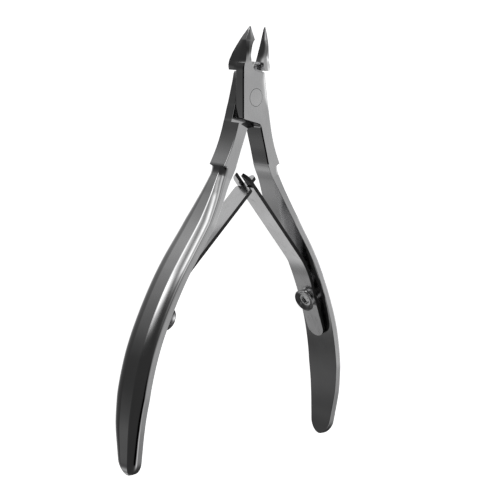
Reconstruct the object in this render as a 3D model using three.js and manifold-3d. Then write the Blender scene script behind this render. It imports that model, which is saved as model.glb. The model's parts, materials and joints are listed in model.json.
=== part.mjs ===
// Cuticle nipper with a lap joint and two interlocking leaf springs.
//
// Frame: millimetres, +Z up. The nipper lies flat: X across the handles, +Y towards
// the jaws, +Z out of the front face of the joint. It is drawn about the pivot axis
// (X = Y = 0, mating faces of the lap at Z = 0) and lifted onto Z = 0 at the end.
// At rest the jaws stand open, held apart by the springs.

import * as THREE from 'three';
import { mergeVertices } from 'three/addons/utils/BufferGeometryUtils.js';
import Module from 'manifold-3d';

const wasm = await Module();
wasm.setup();

// ---- driving dimensions (mm) ----
const OPEN_ANGLE = THREE.MathUtils.degToRad(8.3); // each lever's swing from closed to rest
const PLATE_T = 2.6; // thickness of one half of the lap
const LAP_GAP = 0.03; // each mating face stands back this far from Z = 0
const JAW_TIP_Y = 16.8; // pivot to the jaw tips
const HANDLE_END_Y = -87.5; // pivot to the handle ends
const HANDLE_HALF_W = 4.9; // half width of the handles along Z
const RIVET_HEAD_R = 2.17;
const RIVET_SHANK_R = 1.5;
const RIVET_CLEARANCE = 0.04;
const SPRING_T = 0.95; // leaf thickness
const SPRING_HALF_W = 2.6; // half width of a leaf along Z
const SLOT_HALF_W = 1.0; // slot between the prongs of the forked leaf
const TONGUE_HALF_W = 0.84; // tongue of the other leaf, which runs in that slot
const SCREW_Y = -51.15; // where the spring screws cross the leaves
const SCREW_HEAD_R = 2.95;
const SCREW_BARREL_R = 2.1;
const SCREW_SHANK_R = 1.2;
const WASHER_R = 2.4;
const WASHER_T = 0.4;
const SPACER_R = 2.2;
const FIT_GAP = 0.04; // gap between pieces that are screwed face to face

// ---- solids ----

function toManifold(geometry) {
  const bare = geometry.clone();
  bare.deleteAttribute('normal');
  bare.deleteAttribute('uv');
  const merged = mergeVertices(bare, 1e-5);
  return new wasm.Manifold(new wasm.Mesh({
    numProp: 3,
    vertProperties: new Float32Array(merged.attributes.position.array),
    triVerts: new Uint32Array(merged.index.array),
  }));
}

function toGeometry(solid) {
  const mesh = solid.getMesh();
  const geometry = new THREE.BufferGeometry();
  geometry.setAttribute('position', new THREE.BufferAttribute(mesh.vertProperties, 3));
  geometry.setIndex(new THREE.BufferAttribute(mesh.triVerts, 1));
  const flat = geometry.toNonIndexed();
  flat.computeVertexNormals();
  return flat;
}

// A closed skin over a row of convex rings that all have the same number of points.
function loft(rings) {
  const count = rings[0].length;
  const triangles = [];
  for (let i = 0; i + 1 < rings.length; i += 1) {
    for (let j = 0; j < count; j += 1) {
      const k = (j + 1) % count;
      triangles.push([rings[i][j], rings[i][k], rings[i + 1][k]]);
      triangles.push([rings[i][j], rings[i + 1][k], rings[i + 1][j]]);
    }
  }
  const cap = (ring, turn) => {
    const middle = ring.reduce((sum, p) => sum.add(p), new THREE.Vector3()).divideScalar(count);
    for (let j = 0; j < count; j += 1) {
      const k = (j + 1) % count;
      triangles.push(turn ? [middle, ring[j], ring[k]] : [middle, ring[k], ring[j]]);
    }
  };
  cap(rings[0], false);
  cap(rings[rings.length - 1], true);
  const volume = triangles.reduce((sum, [p, q, r]) => sum + p.dot(q.clone().cross(r)), 0);
  const facing = volume > 0 ? triangles : triangles.map(([p, q, r]) => [p, r, q]);
  const geometry = new THREE.BufferGeometry();
  geometry.setFromPoints(facing.flat());
  return toManifold(geometry);
}

// A flat outline in X and Y raised from z0 to z1.
function slab(shape, z0, z1, curveSegments = 12) {
  const geometry = new THREE.ExtrudeGeometry(shape, {
    depth: z1 - z0, bevelEnabled: false, curveSegments,
  });
  geometry.translate(0, 0, z0);
  return toManifold(geometry);
}

function outline(points) {
  return new THREE.Shape(points.map(([x, y]) => new THREE.Vector2(x, y)));
}

// A turned solid about the Z axis from [radius, z] pairs that start and end on the axis.
function turned(profile, segments = 48) {
  const points = profile.map(([r, z]) => new THREE.Vector2(r, z));
  const geometry = new THREE.LatheGeometry(points, segments);
  geometry.rotateX(Math.PI / 2);
  const solid = toManifold(geometry);
  return solid.volume() < 0 ? toManifold(geometry.scale(1, -1, 1)) : solid;
}

function cylinder(radius, z0, z1, segments = 48) {
  return turned([[0, z0], [radius, z0], [radius, z1], [0, z1]], segments);
}

// Half a turn about the Y axis carries the front lever's joint and handle onto the back one's.
function halfTurn(solid) {
  return solid.rotate([0, 180, 0]);
}

// Interpolates [key, value] pairs by the key.
function graph(pairs, key) {
  const rising = pairs[0][0] < pairs[pairs.length - 1][0] ? pairs : [...pairs].reverse();
  if (key <= rising[0][0]) return rising[0][1];
  for (let i = 1; i < rising.length; i += 1) {
    const [k0, v0] = rising[i - 1];
    const [k1, v1] = rising[i];
    if (key <= k1) return v0 + ((v1 - v0) * (key - k0)) / (k1 - k0);
  }
  return rising[rising.length - 1][1];
}

// ---- handles ----
// The inner face is flat across Z and bows outward along its length; the back is
// rounded, so the section is a D that grows out of the shank below the knee.

const HANDLE_LINE = new THREE.SplineCurve([
  [5.0, -13.6], [7.6, -20], [13.7, -30], [22.3, -42], [28.4, -54],
  [31.6, -64], [33.1, -74], [33.0, -82], [32.6, HANDLE_END_Y],
].map(([x, y]) => new THREE.Vector2(x, y)));
const HANDLE_WIDTH = [[-13.6, 2.3], [-16.5, 2.6], [-20, 3.3], [-30, 4.55], [-38, HANDLE_HALF_W],
  [-69, HANDLE_HALF_W], [-76, 4.2], [-84, 3.2], [HANDLE_END_Y, 2.7]];
const HANDLE_THICKNESS = [[-13.6, 2.6], [-20, 2.75], [-40, 2.6], [-60, 2.95], [HANDLE_END_Y, 2.8]];
const HANDLE_EDGE = [[-13.6, 2.2], [-17, 1.9], [-24, 1.2], [HANDLE_END_Y, 1.1]];
const HANDLE_END_ROUND = 2.6; // length over which the end rounds off

function handleFrame(t) {
  const point = HANDLE_LINE.getPointAt(t);
  const along = HANDLE_LINE.getTangentAt(t);
  return { point, along, out: new THREE.Vector2(-along.y, along.x) };
}

function handleSolid() {
  const stations = 46;
  const length = HANDLE_LINE.getLength();
  const params = [];
  for (let i = 0; i < stations; i += 1) params.push(((length - HANDLE_END_ROUND) * i) / stations);
  for (const f of [0, 0.35, 0.62, 0.82, 0.94, 1]) params.push(length - HANDLE_END_ROUND * (1 - f));
  const steps = 14;
  const rings = params.map((s) => {
    const { point, out } = handleFrame(s / length);
    const left = Math.max(0, (s - (length - HANDLE_END_ROUND)) / HANDLE_END_ROUND);
    const close = Math.sqrt(Math.max(0.02, 1 - left * left));
    const half = graph(HANDLE_WIDTH, point.y) * close;
    const edge = graph(HANDLE_EDGE, point.y);
    const bulge = (graph(HANDLE_THICKNESS, point.y) - edge) * (0.35 + 0.65 * close);
    const ring = [];
    for (let j = 0; j <= steps; j += 1) {
      const a = (Math.PI * j) / steps;
      const depth = edge + bulge * Math.sin(a);
      ring.push(new THREE.Vector3(point.x + out.x * depth, point.y + out.y * depth, half * Math.cos(a)));
    }
    ring.push(new THREE.Vector3(point.x, point.y, -half));
    ring.push(new THREE.Vector3(point.x, point.y, half));
    return ring;
  });
  return loft(rings);
}

// ---- joint and shank of the front lever (right handle, left jaw) ----

const SHANK_OUTER = [[3.0, 5.4], [3.25, 3.8], [4.1, 0], [4.95, -3.8], [5.95, -7.6],
  [7.25, -11.4], [9.6, -16.1], [9.4, -17.2]];
const SHANK_INNER = [[6.2, -18.0], [5.45, -16.2], [4.3, -12.9], [2.9, -9.1], [2.35, -7.6]];

// The half of the lap: from the jaw root down to the foot of the plate, then the shank.
function frontHalfShape() {
  const shape = new THREE.Shape();
  shape.moveTo(3.0, 5.4);
  SHANK_OUTER.slice(1).forEach(([x, y]) => shape.lineTo(x, y));
  SHANK_INNER.forEach(([x, y]) => shape.lineTo(x, y));
  shape.quadraticCurveTo(1.95, -6.5, 1.1, -6.28);
  shape.lineTo(-3.6, -5.25);
  shape.quadraticCurveTo(-4.0, -5.15, -4.02, -4.8);
  shape.lineTo(-4.38, 0.4);
  shape.lineTo(-4.8, 6.9);
  shape.lineTo(-4.6, 8.2);
  shape.lineTo(-2.0, 8.4);
  shape.lineTo(-1.42, 7.45);
  shape.quadraticCurveTo(-0.9, 6.35, 1.0, 6.15);
  shape.lineTo(2.7, 6.0);
  return shape;
}

// The full-thickness shank below the shoulder that the other plate swings against.
function shankShape() {
  return outline([[5.5, -5.8], ...SHANK_OUTER.slice(4), ...SHANK_INNER, [2.3, -7.35]]);
}

// The foot of the back lever's plate, rounded about the pivot so that it stays inside the
// sweep of the front lever's shoulder.
const FOOT_R = 7.52;
const backFoot = (() => {
  const arc = [];
  for (let i = 0; i <= 10; i += 1) {
    const x = -2.6 + (6.5 * i) / 10;
    arc.push([x, -Math.sqrt(FOOT_R ** 2 - x ** 2)]);
  }
  return slab(outline([...arc, [3.9, -5.0], [-2.6, -5.0]]), -PLATE_T, -LAP_GAP);
})();

// ---- blades ----
// Rows of [y, cutting edge x z, ridge x z, back x z] for the jaw on the -X side, with x
// given as its distance from the middle plane. The cutting edge runs straight from the
// tip to the corner and falls away behind it.

const EDGE_CORNER_Y = 13.7;
const edgeX = (y) => y * Math.tan(OPEN_ANGLE);
const BLADE_ROWS = [
  [6.3, 2.9, 2.55, 4.75, 2.4, 4.45, -2.6],
  [7.4, 2.2, 2.58, 4.45, 2.5, 4.68, -2.6],
  [8.6, 2.15, 2.62, 4.0, 2.55, 4.3, -2.6],
  [9.6, 2.6, 2.85, 3.9, 2.5, 4.45, -2.05],
  [10.7, 2.8, 3.05, 3.84, 2.42, 4.32, -1.6],
  [12.2, 2.68, 3.14, 3.82, 2.25, 3.98, -0.85],
  [13.3, 2.28, 3.18, 3.8, 2.05, 3.68, -0.3],
  [EDGE_CORNER_Y, edgeX(EDGE_CORNER_Y), 3.2, 3.72, 2.0, 3.58, -0.1],
  [15.2, edgeX(15.2), 2.65, 3.2, 2.05, 3.06, 0.75],
  [16.3, edgeX(16.3), 2.25, 2.76, 2.05, 2.68, 1.4],
  [JAW_TIP_Y, edgeX(JAW_TIP_Y), 2.06, 2.56, 2.02, 2.54, 1.86],
];
const HOLLOW_GRIND = 0.28; // depth of the hollow in the inner face

function bladeSolid() {
  const rings = BLADE_ROWS.map(([y, ex, ez, rx, rz, bx, bz]) => {
    const inward = new THREE.Vector2(bx - ex, bz - ez);
    const hollow = HOLLOW_GRIND * Math.min(1, inward.length() / 4);
    const side = new THREE.Vector2(-inward.y, inward.x).normalize();
    const at = (x, z) => new THREE.Vector3(-x, y, z);
    return [
      at(ex, ez),
      at((ex + rx) / 2 + 0.03, (ez + rz) / 2 + 0.05),
      at(rx, rz),
      at((rx + bx) / 2 + 0.1, (rz + bz) / 2),
      at(bx, bz),
      at(ex + inward.x * 0.5 + side.x * hollow, ez + inward.y * 0.5 + side.y * hollow),
    ];
  });
  return loft(rings);
}

// Clears the heel of the left jaw from the plate behind it: everything below a cove that
// runs from the heel's underside down to the lap face.
function heelCutter() {
  const shape = new THREE.Shape();
  shape.moveTo(-6, 0);
  shape.lineTo(LAP_GAP, 0);
  shape.lineTo(LAP_GAP, 5.55);
  shape.quadraticCurveTo(-0.1, 6.75, -1.4, 6.8);
  shape.lineTo(-6, 6.85);
  const geometry = new THREE.ExtrudeGeometry(shape, { depth: 20, bevelEnabled: false, curveSegments: 6 });
  // shape x is Z, shape y is Y, and the depth runs along X
  geometry.applyMatrix4(new THREE.Matrix4().makeBasis(
    new THREE.Vector3(0, 0, 1), new THREE.Vector3(0, 1, 0), new THREE.Vector3(-1, 0, 0),
  ));
  geometry.translate(10, 0, 0);
  return toManifold(geometry);
}

// ---- pivot ----

const RIVET_HEAD_T = 1.1;
const RIVET_FOOT_R = 1.9;
const RIVET_FOOT_T = 0.7;

function rivetProfile(grow, front, back) {
  return [[0, -back], [RIVET_FOOT_R + grow, -back], [RIVET_FOOT_R + grow, -PLATE_T + RIVET_FOOT_T + grow],
    [RIVET_SHANK_R + grow, -PLATE_T + RIVET_FOOT_T + grow], [RIVET_SHANK_R + grow, PLATE_T - RIVET_HEAD_T - grow],
    [RIVET_HEAD_R + grow, PLATE_T - RIVET_HEAD_T - grow], [RIVET_HEAD_R + grow, front], [0, front]];
}

// ---- springs ----
// Each leaf is one flat strip with a foot screwed to the handle and an arm that leaves the
// foot at a bend. The right leaf's fork straddles the left leaf's tongue at the crossing.
// The strips are laid along their inner face, the one that looks into the handle gap.

const BEND = new THREE.Vector2(21.4, -42.75); // where the lines of foot and arm would meet
const BEND_RUN = 1.35; // the bend starts and ends this far from there
const FOOT_END = new THREE.Vector2(29.85, -61.3);
const FORK_END = new THREE.Vector2(-2.4, -18.72);
const TONGUE_END = new THREE.Vector2(3.55, -19.6);
const LEAF_SPLIT = 0.12; // gap where a leaf's arm, which flexes, parts from its foot
const SLOT_LENGTH = 5.2;
const SHOULDER_BACK = 3.95; // the tongue's length from its shoulders
const SHOULDER_ROUND = 0.8;

// [curve, half width at each distance along it] swept at leaf thickness towards the handle.
function strip(curve, halfWidth, distances) {
  const length = curve.getLength();
  const rings = distances(length).map((s) => {
    const p = curve.getPointAt(Math.min(1, s / length));
    const along = curve.getTangentAt(Math.min(1, s / length));
    const back = new THREE.Vector2(along.y, -along.x).multiplyScalar(SPRING_T);
    const half = halfWidth(s, length);
    return [[0, -half], [0, half], [1, half], [1, -half]]
      .map(([f, z]) => new THREE.Vector3(p.x + back.x * f, p.y + back.y * f, z));
  });
  return loft(rings);
}

// Half width of a strip whose far end is rounded off over its last `round` millimetres.
function roundedEnd(half, round) {
  return (s, length) => {
    const into = Math.max(0, (s - (length - round)) / round);
    return half * Math.sqrt(Math.max(0.01, 1 - into * into));
  };
}

function stepsToRoundedEnd(steps, round, first = 0) {
  return (length) => {
    const list = [];
    for (let i = 0; i < steps; i += 1) list.push(first + ((length - round - first) * i) / steps);
    for (let i = 0; i <= 7; i += 1) list.push(length - round * (1 - Math.sin((i * Math.PI) / 14)));
    return list;
  };
}

// Both leaves are drawn as the right one, with the handle on the +X side.
function leafLines(armEnd) {
  const up = armEnd.clone().sub(BEND).normalize();
  const down = FOOT_END.clone().sub(BEND).normalize();
  const root = BEND.clone().addScaledVector(up, BEND_RUN);
  const footTop = BEND.clone().addScaledVector(up, BEND_RUN - LEAF_SPLIT);
  const footStraight = BEND.clone().addScaledVector(down, BEND_RUN);
  const foot = new THREE.CurvePath();
  foot.add(new THREE.QuadraticBezierCurve(FOOT_END, FOOT_END.clone().lerp(footStraight, 0.5), footStraight));
  foot.add(new THREE.QuadraticBezierCurve(footStraight, BEND, footTop));
  return { arm: new THREE.LineCurve(root, armEnd), foot, root, up };
}

const rightLines = leafLines(FORK_END);
const leftLines = leafLines(new THREE.Vector2(-TONGUE_END.x, TONGUE_END.y));

function footSolid(lines) {
  const half = (s, length) => roundedEnd(SPRING_HALF_W, SPRING_HALF_W)(length - s, length);
  const distances = (length) => [
    ...stepsToRoundedEnd(1, SPRING_HALF_W)(length).map((s) => length - s).reverse(),
    ...[3.2, 2.6, 2.0, 1.4, 0.7].map((d) => length - d), length,
  ].sort((p, q) => p - q).filter((s, i, all) => i === 0 || s - all[i - 1] > 1e-4);
  return strip(lines.foot, half, distances);
}

function forkArmSolid() {
  const arm = strip(rightLines.arm, roundedEnd(SPRING_HALF_W, SPRING_HALF_W),
    stepsToRoundedEnd(2, SPRING_HALF_W));
  const slot = slab(outline([[-9, -SLOT_LENGTH], [9, -SLOT_LENGTH], [9, 9], [-9, 9]]),
    -SLOT_HALF_W, SLOT_HALF_W);
  const turn = Math.atan2(rightLines.up.y, rightLines.up.x) - Math.PI / 2;
  return arm.subtract(slot.rotate([0, 0, THREE.MathUtils.radToDeg(turn)])
    .translate([FORK_END.x, FORK_END.y, 0]));
}

function tongueArmSolid() {
  const shoulder = (length) => length - SHOULDER_BACK;
  const half = (s, length) => {
    const past = s - (shoulder(length) - SHOULDER_ROUND);
    if (past <= 0) return SPRING_HALF_W;
    if (past <= SHOULDER_ROUND) {
      return SPRING_HALF_W - SHOULDER_ROUND + Math.sqrt(Math.max(0, SHOULDER_ROUND ** 2 - past ** 2));
    }
    return roundedEnd(TONGUE_HALF_W, TONGUE_HALF_W)(s, length);
  };
  const distances = (length) => {
    const start = shoulder(length) - SHOULDER_ROUND;
    const list = [0, start * 0.5];
    for (let i = 0; i <= 5; i += 1) list.push(start + SHOULDER_ROUND * Math.sin((i * Math.PI) / 10));
    return [...list, ...stepsToRoundedEnd(2, TONGUE_HALF_W, shoulder(length) + 0.002)(length)];
  };
  return strip(leftLines.arm, half, distances);
}

// ---- spring screws ----
// Drawn on the Z axis with Z = 0 at the leaf's inner face and +Z into the handle gap, then
// placed square to the right foot; the left set is its mirror image.

const SPACER_T = 0.66;
const HEAD_UNDER = WASHER_T + 0.5; // underside of the flared head
const HEAD_RIM = 1.5; // height of the head's rim
const SCREW_END = -3.55;
const BLIND_HOLE_END = -3.75;
const SCREW_HOLE_R = SCREW_SHANK_R + 0.06;

function onScrewAxis(solid) {
  const down = FOOT_END.clone().sub(BEND).normalize();
  const at = BEND.clone().addScaledVector(down, (SCREW_Y - BEND.y) / down.y);
  const inward = THREE.MathUtils.radToDeg(Math.atan2(-down.x, down.y));
  return solid.rotate([0, 90, 0]).rotate([0, 0, inward]).translate([at.x, at.y, 0]);
}

function mirrored(solid) {
  return solid.mirror([1, 0, 0]);
}

function screwSolid() {
  const profile = [
    [0, SCREW_END], [SCREW_SHANK_R, SCREW_END], [SCREW_SHANK_R, WASHER_T + FIT_GAP],
    [SCREW_BARREL_R, WASHER_T + FIT_GAP], [SCREW_BARREL_R, HEAD_UNDER],
    [SCREW_HEAD_R - 0.1, HEAD_RIM - 0.3], [SCREW_HEAD_R, HEAD_RIM - 0.12],
    [SCREW_HEAD_R - 0.14, HEAD_RIM], [1.7, HEAD_RIM - 0.6], [0, HEAD_RIM - 0.6],
  ];
  const socket = new THREE.Shape();
  const points = 12;
  for (let i = 0; i < points; i += 1) {
    const angle = (2 * Math.PI * i) / points;
    const radius = i % 2 === 0 ? 1.3 : 0.9;
    socket[i === 0 ? 'moveTo' : 'lineTo'](radius * Math.cos(angle), radius * Math.sin(angle));
  }
  return turned(profile, 40).subtract(slab(socket, HEAD_RIM - 1.3, HEAD_RIM + 1));
}

function ringSolid(outer, inner, z0, z1) {
  return cylinder(outer, z0, z1, 36).subtract(cylinder(inner, z0 - 1, z1 + 1, 32));
}

const leafHole = () => onScrewAxis(cylinder(SCREW_HOLE_R, -SPRING_T - 0.5, 0.5, 32));
const washer = ringSolid(WASHER_R, SCREW_HOLE_R, FIT_GAP, WASHER_T);
const spacer = ringSolid(SPACER_R, SCREW_HOLE_R, -SPRING_T - SPACER_T, -SPRING_T - FIT_GAP);

// ---- assembly ----

const steel = (color, roughness) => new THREE.MeshStandardMaterial({ color, roughness, metalness: 1 });
const forged = steel(0xb4b4b6, 0.22);
const leaf = steel(0xbcbcbe, 0.3);
const turnedSteel = steel(0xc4c4c6, 0.2);

const group = new THREE.Group();

function add(name, solid, material) {
  const mesh = new THREE.Mesh(toGeometry(solid), material);
  mesh.name = name;
  group.add(mesh);
}

const rivetHole = turned(rivetProfile(RIVET_CLEARANCE, PLATE_T + 1, PLATE_T + 1));
const screwHole = onScrewAxis(cylinder(SCREW_HOLE_R, BLIND_HOLE_END, 3, 32));
const blade = bladeSolid();
const body = slab(frontHalfShape(), LAP_GAP, PLATE_T)
  .add(slab(shankShape(), -PLATE_T, PLATE_T))
  .add(handleSolid())
  .subtract(screwHole);

add('lever_front', body.add(blade.subtract(heelCutter())).subtract(rivetHole), forged);
add('lever_back', halfTurn(body).add(backFoot).add(mirrored(blade).subtract(halfTurn(heelCutter())))
  .subtract(rivetHole), forged);
add('pivot_rivet', turned(rivetProfile(0, PLATE_T, PLATE_T)), turnedSteel);
add('fork_leaf_foot', footSolid(rightLines).subtract(leafHole()), leaf);
add('fork_leaf_arm', forkArmSolid(), leaf);
add('tongue_leaf_foot', mirrored(footSolid(leftLines).subtract(leafHole())), leaf);
add('tongue_leaf_arm', mirrored(tongueArmSolid()), leaf);
for (const [side, place] of [['right', (s) => s], ['left', mirrored]]) {
  add(`spring_screw_${side}`, place(onScrewAxis(screwSolid())), turnedSteel);
  add(`screw_washer_${side}`, place(onScrewAxis(washer)), turnedSteel);
  add(`leaf_spacer_${side}`, place(onScrewAxis(spacer)), turnedSteel);
}

// The origin is the centre of the underside of the whole nipper's box.
const box = new THREE.Box3().setFromObject(group);
const middle = box.getCenter(new THREE.Vector3());
group.position.set(-middle.x, -middle.y, -box.min.z);

export default group;
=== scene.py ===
import json
import math

import bmesh
import bpy
import numpy as np
from mathutils import Matrix


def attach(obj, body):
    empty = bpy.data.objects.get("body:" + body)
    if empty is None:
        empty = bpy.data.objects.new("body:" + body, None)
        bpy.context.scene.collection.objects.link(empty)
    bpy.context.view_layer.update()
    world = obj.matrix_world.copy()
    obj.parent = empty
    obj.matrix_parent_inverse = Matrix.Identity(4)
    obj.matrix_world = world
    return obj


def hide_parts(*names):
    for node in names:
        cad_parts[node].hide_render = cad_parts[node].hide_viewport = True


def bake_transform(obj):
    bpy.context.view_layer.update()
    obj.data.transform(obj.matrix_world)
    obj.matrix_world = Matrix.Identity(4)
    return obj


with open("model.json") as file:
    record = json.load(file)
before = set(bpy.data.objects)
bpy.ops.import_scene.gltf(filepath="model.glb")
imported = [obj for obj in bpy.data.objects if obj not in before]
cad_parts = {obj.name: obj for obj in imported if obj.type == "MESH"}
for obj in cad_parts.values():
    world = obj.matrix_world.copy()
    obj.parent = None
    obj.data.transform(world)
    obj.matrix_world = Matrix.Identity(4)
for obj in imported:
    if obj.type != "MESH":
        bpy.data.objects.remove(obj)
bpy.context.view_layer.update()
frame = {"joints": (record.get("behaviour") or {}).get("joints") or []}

# ---- studio ----
# A white floor and backdrop, and a tent of soft boxes and grey cards that the polished
# faces mirror. The boxes are smooth glows on the sky, each with its own direction. The
# floor is kept out of the mirrors and the camera sees the sky white.

MM = 0.001
PIVOT = np.array({j["name"]: j for j in frame["joints"]}["lever_pivot"]["pos_m"])

# Each box: direction (x, y, z), tightness, brightness. Those below nought are black cards.
FRONT_CARD = (0.7, 0.0, 0.7, 10, 0.34)  # seen in the flat front faces
RIGHT_STRIP = (0.9, -0.1, 0.4, 60, 1.0)  # the white line down the right handle's edge
RIGHT_CARD = (1.0, 0.0, 0.0, 15, 0.45)
UPPER_BACK_BOX = (0.0, 0.75, -0.65, 15, 0.5)  # seen in the left leaf
LOWER_BACK_BOX = (0.1, -0.75, -0.65, 40, 0.55)  # seen in the right leaf
FAR_BACK_BOX = (0.5, 0.0, -0.85, 15, 0.7)  # the light rim along the left handle
LEFT_BACK_STRIP = (-0.7, 0.6, -0.4, 110, 1.9)  # these four are the bright bands
LEFT_HIGH_STRIP = (-0.5, 0.75, -0.45, 110, 1.2)  # down the left handle's rounded corner
LEFT_TOP_STRIP = (-0.6, 0.8, 0.0, 90, 1.3)
LEFT_FRONT_STRIP = (-0.5, 0.75, 0.45, 40, 0.7)
HIGH_LEFT_CARD = (-0.45, 0.6, -0.65, 20, 0.13)  # lifts the lower end of the left shank
LOW_LEFT_CARD = (-0.35, -0.65, -0.7, 110, 0.35)  # lifts the lower end of the right shank
LOW_SIDE_CARD = (-0.65, -0.3, -0.7, 40, 0.07)
TOP_CARD = (0.1, 0.45, 0.9, 12, 0.4)
LOW_FRONT_BOX = (0.1, -0.6, 0.8, 12, 0.6)
CAMERA_BLACK = (-0.65, -0.3, 0.7, 40, -0.8)  # the dark line along the front chamfers
GLOWS = (FRONT_CARD, RIGHT_STRIP, RIGHT_CARD, UPPER_BACK_BOX, LOWER_BACK_BOX, FAR_BACK_BOX,
         LEFT_BACK_STRIP, LEFT_HIGH_STRIP, LEFT_TOP_STRIP, LEFT_FRONT_STRIP, HIGH_LEFT_CARD,
         LOW_LEFT_CARD, LOW_SIDE_CARD, TOP_CARD, LOW_FRONT_BOX, CAMERA_BLACK)
TENT_GREY = 0.03

world = bpy.data.worlds.new("soft_box_tent")
bpy.context.scene.world = world
world.use_nodes = True
sky = world.node_tree
sky.nodes.clear()
heading = sky.nodes.new("ShaderNodeTexCoord").outputs["Generated"]


def sky_math(operation, *values):
    """The result of one math node on the sky, fed with numbers or with other nodes."""
    node = sky.nodes.new("ShaderNodeMath")
    node.operation = operation
    for socket, value in zip(node.inputs, values):
        if isinstance(value, (int, float)):
            socket.default_value = value
        else:
            sky.links.new(value, socket)
    return node.outputs[0]


def glow(x, y, z, tightness, brightness):
    """brightness * e ** (tightness * (cosine of the angle from the box's middle - 1))."""
    length = math.sqrt(x * x + y * y + z * z)
    dot = sky.nodes.new("ShaderNodeVectorMath")
    dot.operation = "DOT_PRODUCT"
    sky.links.new(heading, dot.inputs[0])
    dot.inputs[1].default_value = (x / length, y / length, z / length)
    fall = sky_math("MULTIPLY_ADD", dot.outputs["Value"], tightness, -tightness)
    return sky_math("MULTIPLY", sky_math("POWER", math.e, fall), brightness)


total = TENT_GREY
for each in GLOWS:
    total = sky_math("ADD", total, glow(*each))
tent = sky.nodes.new("ShaderNodeBackground")
sky.links.new(sky_math("MAXIMUM", total, 0.0), tent.inputs["Color"])
backdrop = sky.nodes.new("ShaderNodeBackground")
backdrop.inputs["Color"].default_value = (1, 1, 1, 1)
who_looks = sky.nodes.new("ShaderNodeLightPath")
choose = sky.nodes.new("ShaderNodeMixShader")
sky.links.new(who_looks.outputs["Is Camera Ray"], choose.inputs["Fac"])
sky.links.new(tent.outputs[0], choose.inputs[1])
sky.links.new(backdrop.outputs[0], choose.inputs[2])
sky_out = sky.nodes.new("ShaderNodeOutputWorld")
sky.links.new(choose.outputs[0], sky_out.inputs["Surface"])

FLOOR_REACH = 3.0
FLOOR_ROWS = 9
FLOOR_WHITE = 0.9
FLOOR_GLOW = 1.0


def floor_sheet():
    """A flat square net of points, FLOOR_REACH each way from the middle, at Z = 0."""
    line = np.linspace(-FLOOR_REACH, FLOOR_REACH, FLOOR_ROWS)
    x, y = np.meshgrid(line, line)
    points = np.stack([x, y, np.zeros_like(x)], -1).reshape(-1, 3)
    at = np.arange(FLOOR_ROWS ** 2).reshape(FLOOR_ROWS, FLOOR_ROWS)
    quads = np.stack([at[:-1, :-1], at[:-1, 1:], at[1:, 1:], at[1:, :-1]], -1)
    mesh = bpy.data.meshes.new("floor")
    mesh.from_pydata(points.tolist(), [], quads.reshape(-1, 4).tolist())
    return mesh


floor = bpy.data.objects.new("floor", floor_sheet())
bpy.context.scene.collection.objects.link(floor)
white = bpy.data.materials.new("white_sweep")
white.use_nodes = True
paint = white.node_tree.nodes["Principled BSDF"].inputs
paint["Base Color"].default_value = (FLOOR_WHITE, FLOOR_WHITE, FLOOR_WHITE, 1)
paint["Emission Color"].default_value = (1, 1, 1, 1)
paint["Emission Strength"].default_value = FLOOR_GLOW
floor.data.materials.append(white)
floor.visible_glossy = False

bpy.context.scene.view_settings.view_transform = "Standard"

# ---- camera ----
# A long lens on the nipper's left front, a little nearer the jaws' end than the joint. It
# looks at the handles, with the nipper's +Y as its up but for a small roll.

TURN = math.radians(46.5)
RISE = math.radians(8)
ROLL = math.radians(2.791)
CAMERA_AWAY = 0.4
AIM = PIVOT + np.array([0, -35, 0]) * MM
SLIDE = (2.104 * MM, -2.035 * MM)
LENS = 118.92
FILM_WIDTH = 36

back = np.array([-math.sin(TURN) * math.cos(RISE), math.sin(RISE), math.cos(TURN) * math.cos(RISE)])
level = np.array([math.cos(TURN), 0, math.sin(TURN)])
plumb = np.cross(back, level)
right = math.cos(ROLL) * level + math.sin(ROLL) * plumb
up = np.cross(back, right)
stand = AIM + CAMERA_AWAY * back + SLIDE[0] * right + SLIDE[1] * up

camera = bpy.data.objects.new("camera", bpy.data.cameras.new("camera"))
camera.data.lens = LENS
camera.data.sensor_width = FILM_WIDTH
camera.data.clip_start = 0.01
bpy.context.scene.collection.objects.link(camera)
camera.matrix_world = Matrix([[*row, place] for row, place in zip(np.stack([right, up, back], 1), stand)]
                             + [[0, 0, 0, 1]])
bpy.context.scene.camera = camera

# ---- levers ----
# Two forged stainless levers, each with its half of the lap joint, a shank and a handle,
# ground flat at the joint and polished all over. One is the other turned half a turn
# about the line from handles to jaws.

LAP_GAP = 0.03
PLATE_T = 2.6
CRISP = 0.12
PLATE_EDGE = 0.26
CORNER_STEPS = 13
LEAD = 0.04
MERGE_WITHIN = 0.0015
SLIVER = 0.001
HANDLE_END_Y = -87.5


def eased(corners, cuts, steps=CORNER_STEPS, pulls=None):
    """Corners eased by parabolas. Each corner P of each ring becomes (1-s)^2 A + 2s(1-s) C
    + s^2 B, with A and B one cut away along the two sides, and a point more on each side.
    C is P itself, or the pull given for it, which leaves a crease where the curve ends."""
    pulls = corners if pulls is None else pulls
    before = np.roll(corners, 1, 1) - corners
    after = np.roll(corners, -1, 1) - corners
    before /= np.linalg.norm(before, axis=-1, keepdims=True)
    after /= np.linalg.norm(after, axis=-1, keepdims=True)
    a = corners + before * cuts[..., :1]
    b = corners + after * cuts[..., 1:]
    s = np.linspace(0, 1, steps)[None, None, :, None]
    curve = (1 - s) ** 2 * a[:, :, None] + 2 * s * (1 - s) * pulls[:, :, None] + s ** 2 * b[:, :, None]
    first = (a + before * LEAD)[:, :, None]
    last = (b + after * LEAD)[:, :, None]
    return np.concatenate([first, curve, last], 2).reshape(len(corners), -1, 3)


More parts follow.
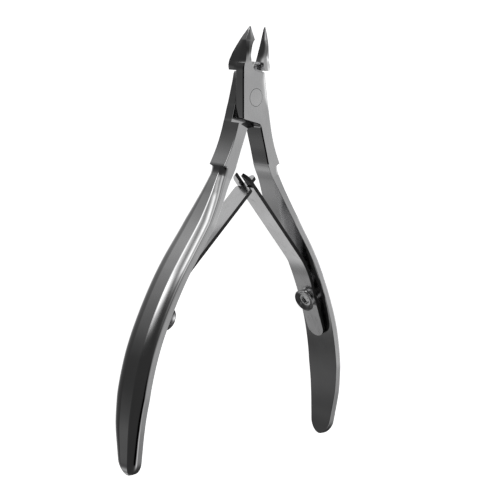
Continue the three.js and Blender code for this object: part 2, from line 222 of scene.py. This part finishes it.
def catmull(points, count):
    """count points evenly spaced along the Catmull-Rom curve through the given ones."""
    points = np.asarray(points, float)
    ends = np.concatenate([[2 * points[0] - points[1]], points, [2 * points[-1] - points[-2]]])
    t = np.linspace(0, len(points) - 1 - 1e-9, 60 * len(points))
    i = t.astype(int)
    f = (t - i)[:, None]
    p0, p1, p2, p3 = ends[i], ends[i + 1], ends[i + 2], ends[i + 3]
    dense = 0.5 * (2 * p1 + (p2 - p0) * f + (2 * p0 - 5 * p1 + 4 * p2 - p3) * f ** 2
                   + (3 * p1 - p0 - 3 * p2 + p3) * f ** 3)
    run = np.concatenate([[0], np.cumsum(np.linalg.norm(np.diff(dense, axis=0), axis=1))])
    at = np.linspace(0, run[-1], count)
    return np.stack([np.interp(at, run, column) for column in dense.T], 1)


def skin(name, rings, sharp=28, wear=None):
    """A closed skin: every ring is joined to the next point by point, and the first and
    last rings are closed. Rings are in mm about the pivot. wear goes round one ring, or
    is 1 everywhere; it is kept on the points for the material."""
    rows, count = rings.shape[:2]
    at = np.arange(rows * count).reshape(rows, count)
    side = np.roll(at, -1, 1)
    quads = np.stack([at[:-1], side[:-1], side[1:], at[1:]], -1).reshape(-1, 4)
    mesh = bpy.data.meshes.new(name)
    faces = quads.tolist() + [at[0][::-1].tolist(), at[-1].tolist()]
    mesh.from_pydata((rings.reshape(-1, 3) * MM + PIVOT).tolist(), [], faces)
    shares = np.ones(count) if wear is None else wear
    mesh.attributes.new("wear", "FLOAT", "POINT").data.foreach_set("value", np.tile(shares, rows))
    return piece(name, mesh, sharp)


def corner_wear(corner_count, steps=CORNER_STEPS):
    """How worn each point of an eased ring is: 4s(1-s) across each corner, nought between."""
    s = np.linspace(0, 1, steps)
    return np.tile(np.concatenate([[0], 4 * s * (1 - s), [0]]), corner_count)


def piece(name, mesh, sharp):
    """Merges the mesh's doubles, turns its faces outwards, smooths it up to sharp degrees."""
    work = bmesh.new()
    work.from_mesh(mesh)
    bmesh.ops.remove_doubles(work, verts=work.verts, dist=MERGE_WITHIN * MM)
    bmesh.ops.dissolve_degenerate(work, edges=work.edges, dist=SLIVER * MM)
    bmesh.ops.recalc_face_normals(work, faces=work.faces)
    work.to_mesh(mesh)
    work.free()
    mesh.shade_smooth()
    mesh.set_sharp_from_angle(angle=math.radians(sharp))
    made = bpy.data.objects.new(name, mesh)
    bpy.context.scene.collection.objects.link(made)
    return made


def half_turn(rings):
    """The rings turned half a turn about the Y axis: X and Z change sign."""
    return rings * np.array([-1, 1, -1])


# The section starts as the lap's half plate, fills out to the whole shank at a shoulder,
# and from the knee down its two outer corners are rounded away until only a narrow flat
# is left along the back of the handle. The borders are in pairs from the jaw root down:
# a point of the border on the jaw's side, then the one across from it.
PLATE_PAIRS = [
    (-4.60, 8.20, -2.00, 8.40), (-4.72, 7.50, -1.42, 7.45), (-4.80, 6.90, -1.12, 6.85),
    (-4.77, 6.40, -0.55, 6.42), (-4.74, 6.00, 0.20, 6.25), (-4.72, 5.70, 1.00, 6.15),
    (-4.70, 5.30, 2.70, 6.00), (-4.66, 4.70, 3.00, 5.40), (-4.60, 3.40, 3.25, 3.80),
    (-4.38, 0.40, 4.10, 0.00), (-4.06, -4.40, 4.42, -1.50), (-4.02, -4.80, 4.48, -1.75),
    (-3.98, -5.00, 4.53, -1.95), (-3.85, -5.17, 4.58, -2.15), (-3.60, -5.25, 4.64, -2.40),
    (-2.00, -5.60, 4.82, -3.20), (0.60, -6.17, 5.07, -4.25), (1.10, -6.28, 5.18, -4.70),
    (1.60, -6.45, 5.28, -5.10), (1.95, -6.75, 5.38, -5.45), (2.15, -7.05, 5.45, -5.65),
    (2.30, -7.35, 5.52, -5.90),
]
SHANK_PAIRS = [
    (2.31, -7.39, 5.53, -5.94), (2.90, -9.10, 6.20, -8.40), (3.60, -11.00, 7.02, -10.80),
    (4.30, -12.90, 7.95, -12.95), (4.95, -14.80, 8.90, -14.80), (5.45, -16.20, 9.60, -16.10),
]
KNEE_PAIRS = [
    (5.45, -16.20, 9.60, -16.10), (5.80, -17.00, 9.66, -16.75), (6.25, -17.90, 9.76, -17.30),
    (6.85, -18.90, 9.93, -17.85), (7.62, -20.10, 10.22, -18.50),
]
HANDLE_LINE = [(7.62, -20.1), (13.7, -30), (22.3, -42), (28.4, -54), (31.6, -64), (33.1, -74),
               (33.0, -82), (32.6, HANDLE_END_Y)]
HALF_WIDTH = [(-90, 2.7), (HANDLE_END_Y, 2.7), (-84, 3.2), (-76, 4.2), (-69, 4.75), (-38, 4.7),
              (-30, 4.4), (-25, 3.6), (-21.5, 2.9), (-19.5, 2.62), (-18, PLATE_T), (0, PLATE_T)]
THICKNESS = [(-90, 2.8), (HANDLE_END_Y, 2.8), (-60, 2.95), (-40, 2.6), (-24, 2.8), (-20.1, 3.06), (0, 3.06)]
FLAT_SHARE = 0.36
CORNER_DEPTH = 1.45
CREASE = 0.45
ARCH_RUN = 0.55
CROWN_WIDTH = 2.0
END_ROUND = 3.4
HANDLE_ROWS = 110
TIP_THINNEST = 0.45
ROUND_SHARE = 0.53

plate = np.array(PLATE_PAIRS)
shank = catmull(SHANK_PAIRS, 16)
knee = catmull(KNEE_PAIRS, 44)
line = catmull(HANDLE_LINE, 400)
tangent = np.gradient(line, axis=0)
tangent /= np.linalg.norm(tangent, axis=1, keepdims=True)
run = np.concatenate([[0], np.cumsum(np.linalg.norm(np.diff(line, axis=0), axis=1))])
reach = run[-1]
even = np.linspace(0, reach - END_ROUND, HANDLE_ROWS)
rounding = reach - END_ROUND * (1 - np.sin(np.linspace(0, 0.5 * np.pi, 14)[1:]))
stations = np.concatenate([even, rounding])
inner = np.stack([np.interp(stations, run, column) for column in line.T], 1)
along = np.stack([np.interp(stations, run, column) for column in tangent.T], 1)
past = np.clip((stations - (reach - END_ROUND)) / END_ROUND, 0, 1)
close = np.sqrt(np.maximum(0.02, 1 - past ** 2))
depth = np.interp(inner[:, 1], *zip(*THICKNESS)) * (TIP_THINNEST + (1 - TIP_THINNEST) * close)
outer = inner + np.stack([-along[:, 1], along[:, 0]], 1) * depth[:, None]
handle = np.concatenate([inner, outer], 1)

pairs = np.concatenate([plate, shank, knee[1:], handle[1:]])
kinds = np.repeat([0, 1, 2, 3], [len(plate), len(shank), len(knee) - 1, len(handle) - 1])
half = np.interp(pairs[:, 1], *zip(*HALF_WIDTH))
half[kinds == 3] *= close[1:]
front = np.where(kinds < 2, PLATE_T, half)
rear = np.where(kinds == 0, LAP_GAP, -front)
below_knee = np.concatenate([[0], np.cumsum(np.linalg.norm(np.diff(pairs[:, 2:], axis=0), axis=1))])
below_knee -= below_knee[kinds == 1][-1]
arch = np.sqrt(1 - (1 - np.clip(below_knee / ARCH_RUN, 0, 1)) ** 2)
across = np.linalg.norm(pairs[:, 2:] - pairs[:, :2], axis=1)
crisp = np.where(kinds < 2, PLATE_EDGE, CRISP)
round_z = np.maximum(crisp, arch * half * (1 - FLAT_SHARE))
round_d = np.maximum(crisp, arch * np.minimum(CORNER_DEPTH, across * ROUND_SHARE))
crown = np.interp(pairs[:, 1], [-5.5, -4, -1.5, 3, 5, 6], [0, 0.5, 1, 1, 0.5, 0]) * (kinds == 0)

corners = np.zeros((len(pairs), 4, 3))
corners[:, 0, :2] = corners[:, 3, :2] = pairs[:, :2]
corners[:, 1, :2] = corners[:, 2, :2] = pairs[:, 2:]
corners[:, 0, 2] = corners[:, 1, 2] = rear
corners[:, 2, 2] = corners[:, 3, 2] = front
cuts = np.repeat(crisp[:, None, None], 4, 1).repeat(2, 2)
cuts[:, 1, 0] = cuts[:, 2, 1] = round_d
cuts[:, 1, 1] = cuts[:, 2, 0] = round_z
cuts[:, 2, 1] += crown * CROWN_WIDTH
pulls = corners.copy()
inwards = (pairs[:, :2] - pairs[:, 2:]) / across[:, None]
pulls[:, 1:3, :2] += (inwards * (round_d * arch * CREASE)[:, None])[:, None]
# The front inner edge of the lap and the shank is a flat chamfer, not a round.
flat = kinds < 2
ends = [corners[flat, 3], corners[flat, 3]]
ends[0] = ends[0] - np.array([0, 0, PLATE_EDGE])
ends[1] = ends[1] - np.append(inwards, np.zeros((len(pairs), 1)), 1)[flat] * PLATE_EDGE
pulls[flat, 3] = (ends[0] + ends[1]) / 2
lever_rings = eased(corners, cuts, pulls=pulls)

# The foot of the back lever's plate: an arc about the pivot, inside the sweep of the other
# lever's shoulder, from the shank's corner to the plate's right edge.
PLATE_FOOT_R = 7.52
foot_x = np.linspace(-2.6, 3.9, 11)
foot_arc = np.stack([foot_x, -np.sqrt(PLATE_FOOT_R ** 2 - foot_x ** 2)], 1).tolist()
foot_arc += [[3.9, -5.05], [-2.6, -5.05]]
foot_levels = (-PLATE_T + 0.02, -PLATE_T + 0.3, -1.4, -0.3, -LAP_GAP - 0.01)
foot_rings = np.stack([[(x, y, z) for x, y in foot_arc] for z in foot_levels])
plate_foot = skin("back_lever_plate_foot", eased(foot_rings, np.full((len(foot_arc), 2), 0.12)),
                  wear=corner_wear(len(foot_arc)))

front_lever = skin("front_lever_forging", lever_rings, wear=corner_wear(4))
back_lever = skin("back_lever_forging", half_turn(lever_rings), wear=corner_wear(4))

# The finish: wheel-polished steel. Fine lines run down the tool, the gloss is uneven where
# the wheel went over it, hands have dulled it in clouds, and the edges are rubbed bright.


def ground_steel(name, darkest, brightest, rough, lines, relief):
    """A metal with polish lines, clouds of dulling and bright worn edges. lines is how many
    to the metre across X, Y and Z; relief is the depth of the lines in metres."""
    material = bpy.data.materials.new(name)
    material.use_nodes = True
    nodes, links = material.node_tree.nodes, material.node_tree.links
    shader = nodes["Principled BSDF"]
    shader.inputs["Metallic"].default_value = 1
    place = nodes.new("ShaderNodeTexCoord").outputs["Object"]

    def noise(scale, detail, stretch=(1, 1, 1)):
        """Cloudy noise from 0 to 1, squeezed by stretch along each axis."""
        mapping = nodes.new("ShaderNodeMapping")
        mapping.inputs["Scale"].default_value = stretch
        links.new(place, mapping.inputs["Vector"])
        cells = nodes.new("ShaderNodeTexNoise")
        cells.inputs["Scale"].default_value = scale
        cells.inputs["Detail"].default_value = detail
        links.new(mapping.outputs[0], cells.inputs["Vector"])
        return cells.outputs["Fac"]

    def ramp(value, low, high, to_low, to_high):
        """The value's run from low to high laid out evenly from to_low to to_high."""
        spread = nodes.new("ShaderNodeMapRange")
        spread.inputs["From Min"].default_value = low
        spread.inputs["From Max"].default_value = high
        spread.inputs["To Min"].default_value = to_low
        spread.inputs["To Max"].default_value = to_high
        links.new(value, spread.inputs["Value"])
        return spread.outputs[0]

    def plus(first, second):
        """The sum of two node results."""
        node = nodes.new("ShaderNodeMath")
        links.new(first, node.inputs[0])
        links.new(second, node.inputs[1])
        return node.outputs[0]

    grain = noise(1, 3, lines)
    clouds = noise(140, 4)
    smears = noise(1, 2, (900, 160, 900))
    rubbed = nodes.new("ShaderNodeAttribute")
    rubbed.attribute_name = "wear"
    tone = plus(ramp(clouds, 0.3, 0.7, 0.0, 0.55), ramp(grain, 0.3, 0.7, 0.0, 0.25))
    tone = plus(tone, ramp(rubbed.outputs["Fac"], 0, 1, 0.0, 0.3))
    mix = nodes.new("ShaderNodeMix")
    mix.data_type = "RGBA"
    mix.inputs["A"].default_value = (darkest, darkest, darkest * 1.01, 1)
    mix.inputs["B"].default_value = (brightest, brightest, brightest * 1.005, 1)
    links.new(tone, mix.inputs["Factor"])
    links.new(mix.outputs["Result"], shader.inputs["Base Color"])
    gloss = plus(ramp(clouds, 0.35, 0.65, rough * 0.75, rough * 1.2), ramp(grain, 0.3, 0.7, 0, rough * 0.3))
    gloss = plus(gloss, ramp(smears, 0.55, 0.75, 0, rough * 0.35))
    links.new(gloss, shader.inputs["Roughness"])
    bump = nodes.new("ShaderNodeBump")
    bump.inputs["Strength"].default_value = 1
    bump.inputs["Distance"].default_value = relief
    links.new(grain, bump.inputs["Height"])
    links.new(bump.outputs[0], shader.inputs["Normal"])
    return material


steel = ground_steel("polished_steel", 0.74, 0.9, 0.1, (7000, 500, 7000), 0.0000004)
# A near-black copy of the steel, used as painted shade on the whole plate foot and on the steps in the
# corner under the lap.
painted_shade_steel = ground_steel("painted_recess_shade", 0.1, 0.2, 0.28, (5000, 5000, 5000), 0.0000008)
for made, body, finish in ((front_lever, "front_lever", steel), (back_lever, "back_lever", steel),
                           (plate_foot, "back_lever", painted_shade_steel)):
    made.data.materials.append(finish)
    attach(made, body)
# The steps in the corner under the lap get the near-black steel too: painted shade where that corner lies
# in shadow.
RECESS_Y = (-7.6, -5)
for made in (front_lever, back_lever):
    made.data.materials.append(painted_shade_steel)
    painted_shade_faces = [abs(f.normal.y) > 0.5 and RECESS_Y[0] < (f.center.y - PIVOT[1]) / MM < RECESS_Y[1]
            for f in made.data.polygons]
    made.data.polygons.foreach_set("material_index", np.array(painted_shade_faces, np.int32))
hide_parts("lever_front")
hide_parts("lever_back")

# ---- jaws ----
# Each jaw is the same stainless steel as its lever and forged in one with it: a wedge that
# narrows to the tip, hollow ground on the side that meets the other jaw, with a straight
# cutting edge from tip to corner.

SWING = math.radians(8.3)
CORNER_Y = 13.7
# y, then x and z of the cutting edge, the ridge and the back
JAW_ROWS = np.array([
    (6.3, 2.9, 2.55, 4.75, 2.4, 4.45, -2.6), (7.4, 2.2, 2.58, 4.45, 2.5, 4.68, -2.6),
    (8.6, 2.15, 2.62, 4.05, 2.53, 4.6, -2.45), (9.6, 2.6, 2.85, 3.92, 2.5, 4.5, -2.05),
    (10.7, 2.8, 3.05, 3.84, 2.42, 4.32, -1.6), (12.2, 2.68, 3.14, 3.82, 2.25, 3.98, -0.85),
    (13.3, 2.28, 3.18, 3.8, 2.05, 3.68, -0.3),
    (CORNER_Y, CORNER_Y * math.tan(SWING), 3.2, 3.72, 2.0, 3.58, -0.1),
    (15.2, 15.2 * math.tan(SWING), 2.65, 3.2, 2.05, 3.06, 0.75),
    (16.3, 16.3 * math.tan(SWING), 2.25, 2.76, 2.05, 2.68, 1.4),
    (16.8, 16.8 * math.tan(SWING), 2.06, 2.56, 2.02, 2.54, 1.86),
])
HOLLOW = 0.28


def jaw_rings(rows):
    """Rings across the jaw: edge, a low crown to the ridge, the ridge, a crown to the back,
    the back, and the hollow between the back and the edge."""
    y, ex, ez, rx, rz, bx, bz = rows.T
    across_x, across_z = bx - ex, bz - ez
    width = np.hypot(across_x, across_z)
    hollow = HOLLOW * np.minimum(1, width / 4)
    x = [ex, (ex + rx) / 2 + 0.03, rx, (rx + bx) / 2 + 0.1, bx,
         ex + across_x * 0.5 - across_z / width * hollow]
    z = [ez, (ez + rz) / 2 + 0.05, rz, (rz + bz) / 2, bz,
         ez + across_z * 0.5 + across_x / width * hollow]
    corners = np.stack([-np.stack(x, 1), np.repeat(y[:, None], 6, 1), np.stack(z, 1)], -1)
    sides = np.linalg.norm(np.roll(corners, -1, 1) - corners, axis=-1)
    shortest = np.minimum(sides, np.roll(sides, 1, 1))
    cuts = np.minimum([0.02, 0.25, 0.06, 0.6, 0.06, 0.8], shortest * 0.3)
    return eased(corners, np.repeat(cuts[..., None], 2, -1), 5)


jaw = jaw_rings(catmull(JAW_ROWS, 60))
front_jaw = skin("front_lever_jaw", jaw, wear=corner_wear(6, 5))
back_jaw = skin("back_lever_jaw", jaw * np.array([-1, 1, 1]), wear=corner_wear(6, 5))
for made, body in ((front_jaw, "front_lever"), (back_jaw, "back_lever")):
    made.data.materials.append(steel)
    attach(made, body)

# ---- pivot rivet ----
# A turned steel rivet that holds the lap together, its head sunk flush in the front plate and
# its foot riveted over flush with the back one. Only the two ends show.

RIVET_HEAD_R = 2.17
RIVET_FOOT_R = 1.9
RIVET_SHANK_R = 1.5
RIVET_SHARP = 8
PROUD = 0.02
JOINT_LINE = 0.09


def turned(name, profile, place=None, petals=0, steps=72, sharp=40):
    """A skin turned round the local Z axis: at angle t, a profile point (radius, height,
    waviness) lies at radius * (1 + waviness * cos(petals * t)). place is (origin, x, y, z)."""
    profile = np.array([[*p, 0][:3] for p in profile], float)
    t = np.linspace(0, 2 * np.pi, steps, endpoint=False)
    radius = profile[:, :1] * (1 + profile[:, 2:] * np.cos(petals * t))
    origin, x, y, z = place or (np.zeros(3), *np.eye(3))
    rings = (origin + radius[..., None] * (np.cos(t)[None, :, None] * x + np.sin(t)[None, :, None] * y)
             + profile[:, 1][:, None, None] * z)
    return skin(name, rings, sharp)


rivet = turned("pivot_rivet_turned", [
    (0.01, -PLATE_T - PROUD), (RIVET_FOOT_R - JOINT_LINE, -PLATE_T - PROUD),
    (RIVET_FOOT_R, -PLATE_T - 0.004), (RIVET_FOOT_R, -PLATE_T + 0.6), (RIVET_SHANK_R, -PLATE_T + 0.6),
    (RIVET_SHANK_R, PLATE_T - 1.1), (RIVET_HEAD_R, PLATE_T - 1.1), (RIVET_HEAD_R, PLATE_T + 0.004),
    (RIVET_HEAD_R - JOINT_LINE, PLATE_T + PROUD), (0.01, PLATE_T + PROUD),
], sharp=RIVET_SHARP)
rivet.data.materials.append(steel)
# The chamfer ring at each end of the rivet is painted near black: painted shadow in the hairline joint with
# the plates.
painted_joint_shadow = ground_steel("painted_joint_shadow", 0.02, 0.06, 0.4, (5000, 5000, 5000), 0.0000006)
rivet.data.materials.append(painted_joint_shadow)
joint_shadow_faces = np.array([0.004 < abs(f.normal.z) < 0.995 for f in rivet.data.polygons])
rivet.data.polygons.foreach_set("material_index", joint_shadow_faces.astype(np.int32))
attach(rivet, "back_lever")
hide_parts("pivot_rivet")

# ---- leaf springs ----
# Two strips of hardened spring steel, blanked and bent, each screwed to its handle. The
# right leaf ends in a fork whose slot the left leaf's tongue runs in. The faces are
# ground bright and the blanked edges are left dark.

SPRING_T = 0.95
SPRING_HALF_W = 2.6
SLOT_HALF_W = 1.0
TONGUE_HALF_W = 0.84
SLOT_LENGTH = 5.2
TONGUE_LENGTH = 3.95
SHOULDER_ROUND = 0.8
BEND = np.array([21.4, -42.75])
BEND_RUN = 4.2
FOOT_END = np.array([29.85, -61.3])
FORK_END = np.array([-2.4, -18.72])
TONGUE_END = np.array([-3.55, -19.6])
MIDDLE_SHARE = 0.4
EASED_EDGE = 0.07
ACROSS = np.array([-1, -0.8, -0.6, -0.4, -0.2, 0, 0.2, 0.4, 0.6, 0.8, 1])


# Satin faces, rolled lengthwise; the blanked edges keep their dark hardening scale.
bright_leaf = ground_steel("bright_leaf", 0.8, 0.9, 0.18, (1500, 500, 9000), 0.00000025)
dark_edge = ground_steel("dark_leaf_edge", 0.04, 0.08, 0.34, (1500, 1500, 9000), 0.000001)


def leaf_path(arm_end, distances):
    """Points and directions along the leaf's inner face: straight foot, a parabola at the
    bend, straight arm. Distances are from the foot's end; the last is the whole length."""
    down = (FOOT_END - BEND) / np.linalg.norm(FOOT_END - BEND)
    away = (arm_end - BEND) / np.linalg.norm(arm_end - BEND)
    s = np.linspace(0, 1, 60)[:, None]
    start, stop = BEND + down * BEND_RUN, BEND + away * BEND_RUN
    bend = (1 - s) ** 2 * start + 2 * s * (1 - s) * BEND + s ** 2 * stop
    dense = np.concatenate([FOOT_END + (start - FOOT_END) * s[:-1], bend, stop + (arm_end - stop) * s[1:]])
    run = np.concatenate([[0], np.cumsum(np.linalg.norm(np.diff(dense, axis=0), axis=1))])
    step = np.gradient(dense, axis=0)
    step /= np.linalg.norm(step, axis=1, keepdims=True)
    at = distances(run[-1])
    pick = [np.stack([np.interp(at, run, c) for c in which.T], 1) for which in (dense, step)]
    return at, run[-1], *pick


def leaf(name, arm_end, inner_half, root_length, forked, side):
    """A leaf on a grid of rows along its path and columns across it. Past the root only the
    outer columns go on (a fork) or only the middle ones (a tongue). The sheet is given its
    thickness towards the handle, and a rim along every open edge."""
    turn = np.linspace(0.06, 0.5 * np.pi, 9)

    def distances(length):
        """Rows close together at both rounded ends and at the shoulder, even between."""
        tip_round = SPRING_HALF_W if forked else inner_half
        low = SPRING_HALF_W * (1 - np.cos(turn))
        top = length - tip_round * (1 - np.sin(np.linspace(0, 1.37 if not forked else 1.17, 9)))
        root = length - root_length
        ease = root - SHOULDER_ROUND * (1 - np.sin(np.linspace(0, 0.5 * np.pi, 7)))
        middle = np.linspace(low[-1], ease[0], 60)[1:-1]
        return np.concatenate([low, middle, ease, [root + 0.002, root + 0.8], top])

    at, length, points, along = leaf_path(arm_end, distances)
    foot = np.sqrt(np.clip(1 - (1 - np.clip(at / SPRING_HALF_W, 0, 1)) ** 2, 0, 1))
    root = length - root_length
    middle_half = inner_half * foot
    if forked:
        into = np.clip((at - (length - SPRING_HALF_W)) / SPRING_HALF_W, 0, 1)
        outer_half = SPRING_HALF_W * foot * np.sqrt(1 - into ** 2)
        outer_half = np.maximum(outer_half, middle_half + 0.001)
    else:
        into = np.clip((at - (root - SHOULDER_ROUND)) / SHOULDER_ROUND, 0, 1)
        outer_half = (SPRING_HALF_W - SHOULDER_ROUND * (1 - np.sqrt(1 - into ** 2))) * foot
        tip = np.clip((at - (length - inner_half)) / inner_half, 0, 1)
        middle_half = middle_half * np.sqrt(1 - tip ** 2)
    share = np.abs(ACROSS)
    inner_part = share / MIDDLE_SHARE * middle_half[:, None]
    past_middle = (share - MIDDLE_SHARE) / (1 - MIDDLE_SHARE)
    outer_part = middle_half[:, None] + past_middle * (outer_half - middle_half)[:, None]
    z = np.sign(ACROSS) * np.where(share <= MIDDLE_SHARE + 1e-9, inner_part, outer_part)
    face = np.concatenate([np.repeat(points[:, None], len(ACROSS), 1), z[..., None]], -1)
    towards = np.stack([along[:, 1], -along[:, 0], np.zeros(len(at))], 1)[:, None] * SPRING_T
    both = np.stack([face, face + towards])
    both[..., 0] *= side

    outside = np.abs(ACROSS[:-1] + ACROSS[1:]) / 2 > MIDDLE_SHARE
    beyond = at[:-1] >= root + 0.001
    keep = ~beyond[:, None] | (outside if forked else ~outside)[None]
    index = np.arange(both[..., 0].size).reshape(both.shape[:3])
    cells = [np.stack([i[:-1, :-1], i[:-1, 1:], i[1:, 1:], i[1:, :-1]], -1)[keep] for i in index]
    framed = np.pad(keep, 1)
    rims = []
    for edge, ends in ((framed[:-1, 1:-1] != framed[1:, 1:-1], (index[:, :, :-1], index[:, :, 1:])),
                       (framed[1:-1, :-1] != framed[1:-1, 1:], (index[:, :-1], index[:, 1:]))):
        a, b = ends
        rims.append(np.stack([a[0], b[0], b[1], a[1]], -1)[edge])
    rims = np.concatenate(rims)
    faces = np.concatenate([*cells, rims])
    mesh = bpy.data.meshes.new(name)
    mesh.from_pydata((both.reshape(-1, 3) * MM + PIVOT).tolist(), [], faces.tolist())
    mesh.polygons.foreach_set("material_index", np.repeat([0, 1], [len(faces) - len(rims), len(rims)]))
    mesh.materials.append(bright_leaf)
    mesh.materials.append(dark_edge)
    made = piece(name, mesh, 30)
    ease = made.modifiers.new("eased_edges", "BEVEL")
    ease.width = EASED_EDGE * MM
    ease.segments = 2
    ease.limit_method = "ANGLE"
    ease.angle_limit = math.radians(40)
    final = bpy.data.meshes.new_from_object(made.evaluated_get(bpy.context.evaluated_depsgraph_get()))
    made.modifiers.clear()
    made.data = final
    return made


LEAVES = (
    ("fork_leaf", FORK_END, SLOT_HALF_W, SLOT_LENGTH, True, 1, "front_lever", "fork_arm"),
    ("tongue_leaf", TONGUE_END, TONGUE_HALF_W, TONGUE_LENGTH, False, -1, "back_lever", "tongue_arm"),
)
for name, arm_end, inner_half, root_length, forked, side, foot_body, arm_body in LEAVES:
    made = leaf(name + "_strip", arm_end, inner_half, root_length, forked, side)
    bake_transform(made)
    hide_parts(name + "_foot", name + "_arm")

# ---- spring screws ----
# Turned steel screws with a flared, dished head and a star socket, which clamp each leaf
# and a washer over a spacer ring. The left set is the right one's mirror image.

SCREW_Y = -51.15
WASHER_T = 0.4
SPACER_T = 0.66
down = (FOOT_END - BEND) / np.linalg.norm(FOOT_END - BEND)
screw_at = BEND + down * (SCREW_Y - BEND[1]) / down[1]

SCREW_HEAD = [
    (0.01, -3.5), (1.2, -3.5), (1.2, WASHER_T + 0.02), (2.02, WASHER_T + 0.02), (2.1, WASHER_T + 0.1),
    (2.1, 0.68), (2.0, 0.72), (2.0, 0.8), (2.12, 0.84), (2.3, 0.93), (2.86, 1.18), (2.95, 1.3),
    (2.93, 1.42), (2.82, 1.5), (2.66, 1.48), (2.45, 1.34), (1.95, 0.98), (1.7, 0.9), (1.4, 0.9),
    (1.2, 0.9, 0.13), (1.15, 0.86, 0.14), (1.1, 0.3, 0.14), (0.6, 0.2, 0.08), (0.01, 0.15),
]
WASHER = [(1.3, 0.02), (2.3, 0.02), (2.4, 0.1), (2.4, 0.3), (2.32, 0.39), (1.3, 0.39)]
SPACER = [(1.3, -0.05), (2.12, -0.05), (2.2, -0.12), (2.2, -0.6), (2.12, -SPACER_T), (1.3, -SPACER_T)]
# Bright from the lathe, with its rings still in the metal.
turned_steel = ground_steel("turned_steel", 0.8, 0.95, 0.1, (5000, 5000, 5000), 0.0000006)
for side_name, side, body in (("right", 1, "front_lever"), ("left", -1, "back_lever")):
    axis = np.array([side * down[1], -down[0], 0])
    place = (np.array([side * screw_at[0], screw_at[1], 0]), np.array([0, 0, 1.0]),
             np.cross(axis, [0, 0, 1.0]), axis)
    behind = (place[0] - axis * SPRING_T, *place[1:])
    for part, profile, where, petals in (("spring_screw", SCREW_HEAD, place, 6),
                                         ("screw_washer", WASHER, place, 0),
                                         ("leaf_spacer", SPACER, behind, 0)):
        made = turned(f"{part}_{side_name}_turned", profile, where, petals)
        made.data.materials.append(turned_steel)
        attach(made, body)
        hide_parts(f"{part}_{side_name}")
